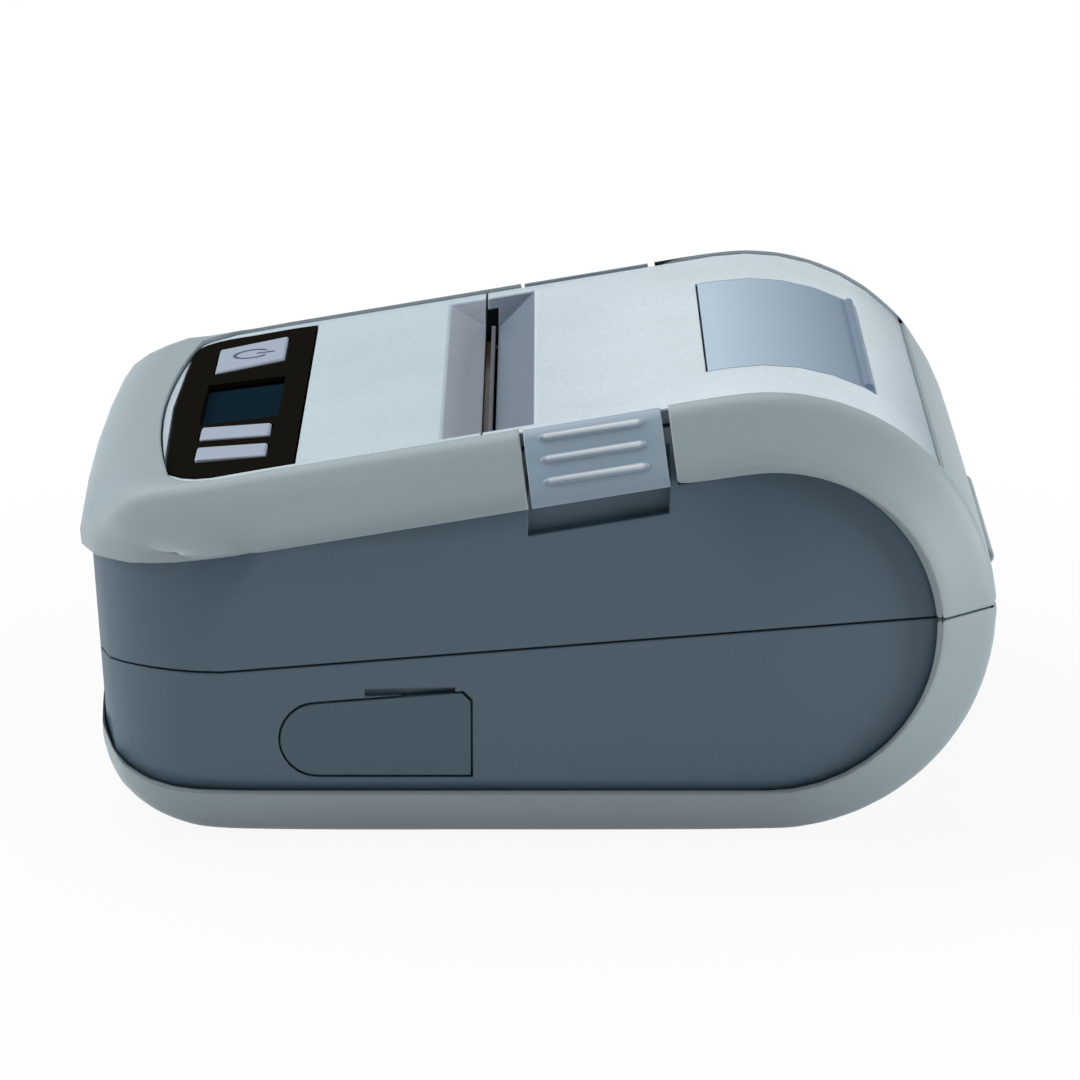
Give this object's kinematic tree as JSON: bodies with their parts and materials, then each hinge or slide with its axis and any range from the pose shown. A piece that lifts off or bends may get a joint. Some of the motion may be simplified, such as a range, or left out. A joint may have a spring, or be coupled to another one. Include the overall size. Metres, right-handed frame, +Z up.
{
  "type": "portable thermal printer",
  "caption": "Portable thermal printer with a sloping top, hinged paper cover with a roll window, side latches, a small display, keys and a socket flap.",
  "frame": {"origin": "middle of the base, on the surface that the printer stands on", "axes": "+X towards the paper roll and the cover's hinge (rear), +Y towards the side without the socket flap, +Z up"},
  "size_m": [0.1238, 0.1014, 0.0608],
  "materials": {
    "dark_housing": "fine texture",
    "light_rim": "satin",
    "silver_paint": "metallic silver paint",
    "latch": "satin",
    "panel_black": "gloss film",
    "key_white": "satin",
    "display_glass": "gloss",
    "smoke_window": "translucent",
    "flap_rubber": "matte",
    "roller_rubber": "matte",
    "steel": "plated",
    "aluminium": "extruded",
    "brass": "sintered",
    "white_nylon": "moulded",
    "head_ceramic": "glazed",
    "circuit_board": "solder mask",
    "black_plastic": "fine texture"
  },
  "bodies": {
    "printer_body": {"lower_housing": "dark_housing", "upper_housing": "dark_housing", "lower_bumper": "light_rim", "front_bezel": "light_rim", "top_deck": "silver_paint", "hinge_pin": "steel", "control_panel": "panel_black", "display_module": "display_glass", "panel_board": "circuit_board", "main_board": "circuit_board", "port_board": "circuit_board", "dc_socket": "black_plastic", "usb_socket": "steel", "battery_pack": "black_plastic", "mech_frame": "steel", "stepper_motor": "steel", "idler_pin": "steel", "tear_bar": "steel", "head_spring_near": "steel", "head_spring_far": "steel", "housing_screw_1": "steel", "housing_screw_2": "steel", "housing_screw_3": "steel", "housing_screw_4": "steel"},
    "paper_cover": {"cover_shell": "silver_paint", "cover_rim": "light_rim", "roll_window": "smoke_window", "platen_bush_near": "brass", "platen_bush_far": "brass"},
    "platen": {"platen_shaft": "steel", "platen_roller": "roller_rubber", "platen_gear": "white_nylon"},
    "idler": {"idler_gear": "white_nylon"},
    "pinion": {"motor_pinion": "brass"},
    "head_unit": {"print_head": "head_ceramic", "head_heat_sink": "aluminium"},
    "near_latch": {"latch_near": "latch"},
    "far_latch": {"latch_far": "latch"},
    "power_button": {"power_key": "key_white"},
    "feed_button": {"feed_key": "key_white"},
    "enter_button": {"enter_key": "key_white"},
    "socket_flap": {"port_flap": "flap_rubber"},
    "battery_release": {"battery_catch": "black_plastic"}
  },
  "joints": [
    {"name": "cover_hinge", "type": "hinge", "parent": "printer_body", "child": "paper_cover", "pos_m": [0.0606, 0, 0.03184], "axis": [0, 1, 0], "range_deg": [0, 100]},
    {"name": "platen_spin", "type": "hinge", "parent": "paper_cover", "child": "platen", "pos_m": [-0.0013, 0, 0.0435], "axis": [0, 1, 0], "continuous": true},
    {"name": "idler_spin", "type": "hinge", "parent": "printer_body", "child": "idler", "pos_m": [-0.00658, 0.0434, 0.03518], "axis": [0, 1, 0], "continuous": true},
    {"name": "pinion_spin", "type": "hinge", "parent": "printer_body", "child": "pinion", "pos_m": [-0.02018, 0.0434, 0.03166], "axis": [0, 1, 0], "continuous": true},
    {"name": "head_press", "type": "slide", "parent": "printer_body", "child": "head_unit", "axis": [-1, 0, 0], "range_m": [0, 0.0005], "stiffness_N_per_m": 2000, "deforming": ["head_spring_near", "head_spring_far"]},
    {"name": "near_latch_pull", "type": "hinge", "parent": "paper_cover", "child": "near_latch", "pos_m": [0.00645, -0.0449, 0.05725], "axis": [-0.9863, 0, -0.165], "range_deg": [0, 18], "stiffness_Nm_per_rad": 0.05},
    {"name": "far_latch_pull", "type": "hinge", "parent": "paper_cover", "child": "far_latch", "pos_m": [0.00645, 0.0449, 0.05725], "axis": [0.9863, 0, 0.165], "range_deg": [0, 18], "stiffness_Nm_per_rad": 0.05},
    {"name": "power_press", "type": "slide", "parent": "printer_body", "child": "power_button", "axis": [0.1286, 0, -0.9917], "range_m": [0, 0.0006], "stiffness_N_per_m": 600},
    {"name": "feed_press", "type": "slide", "parent": "printer_body", "child": "feed_button", "axis": [0.1286, 0, -0.9917], "range_m": [0, 0.0006], "stiffness_N_per_m": 600},
    {"name": "enter_press", "type": "slide", "parent": "printer_body", "child": "enter_button", "axis": [0.1286, 0, -0.9917], "range_m": [0, 0.0006], "stiffness_N_per_m": 600},
    {"name": "flap_swing", "type": "hinge", "parent": "printer_body", "child": "socket_flap", "pos_m": [-0.0344, -0.04744, 0.01415], "axis": [0, 0, -1], "range_deg": [0, 100]},
    {"name": "battery_catch_slide", "type": "slide", "parent": "printer_body", "child": "battery_release", "axis": [1, 0, 0], "range_m": [0, 0.003], "stiffness_N_per_m": 500}
  ],
  "couplings": [
    {"joint": "idler_spin", "follows": "platen_spin", "ratio": -1.2857},
    {"joint": "pinion_spin", "follows": "platen_spin", "ratio": 4.6286}
  ]
}
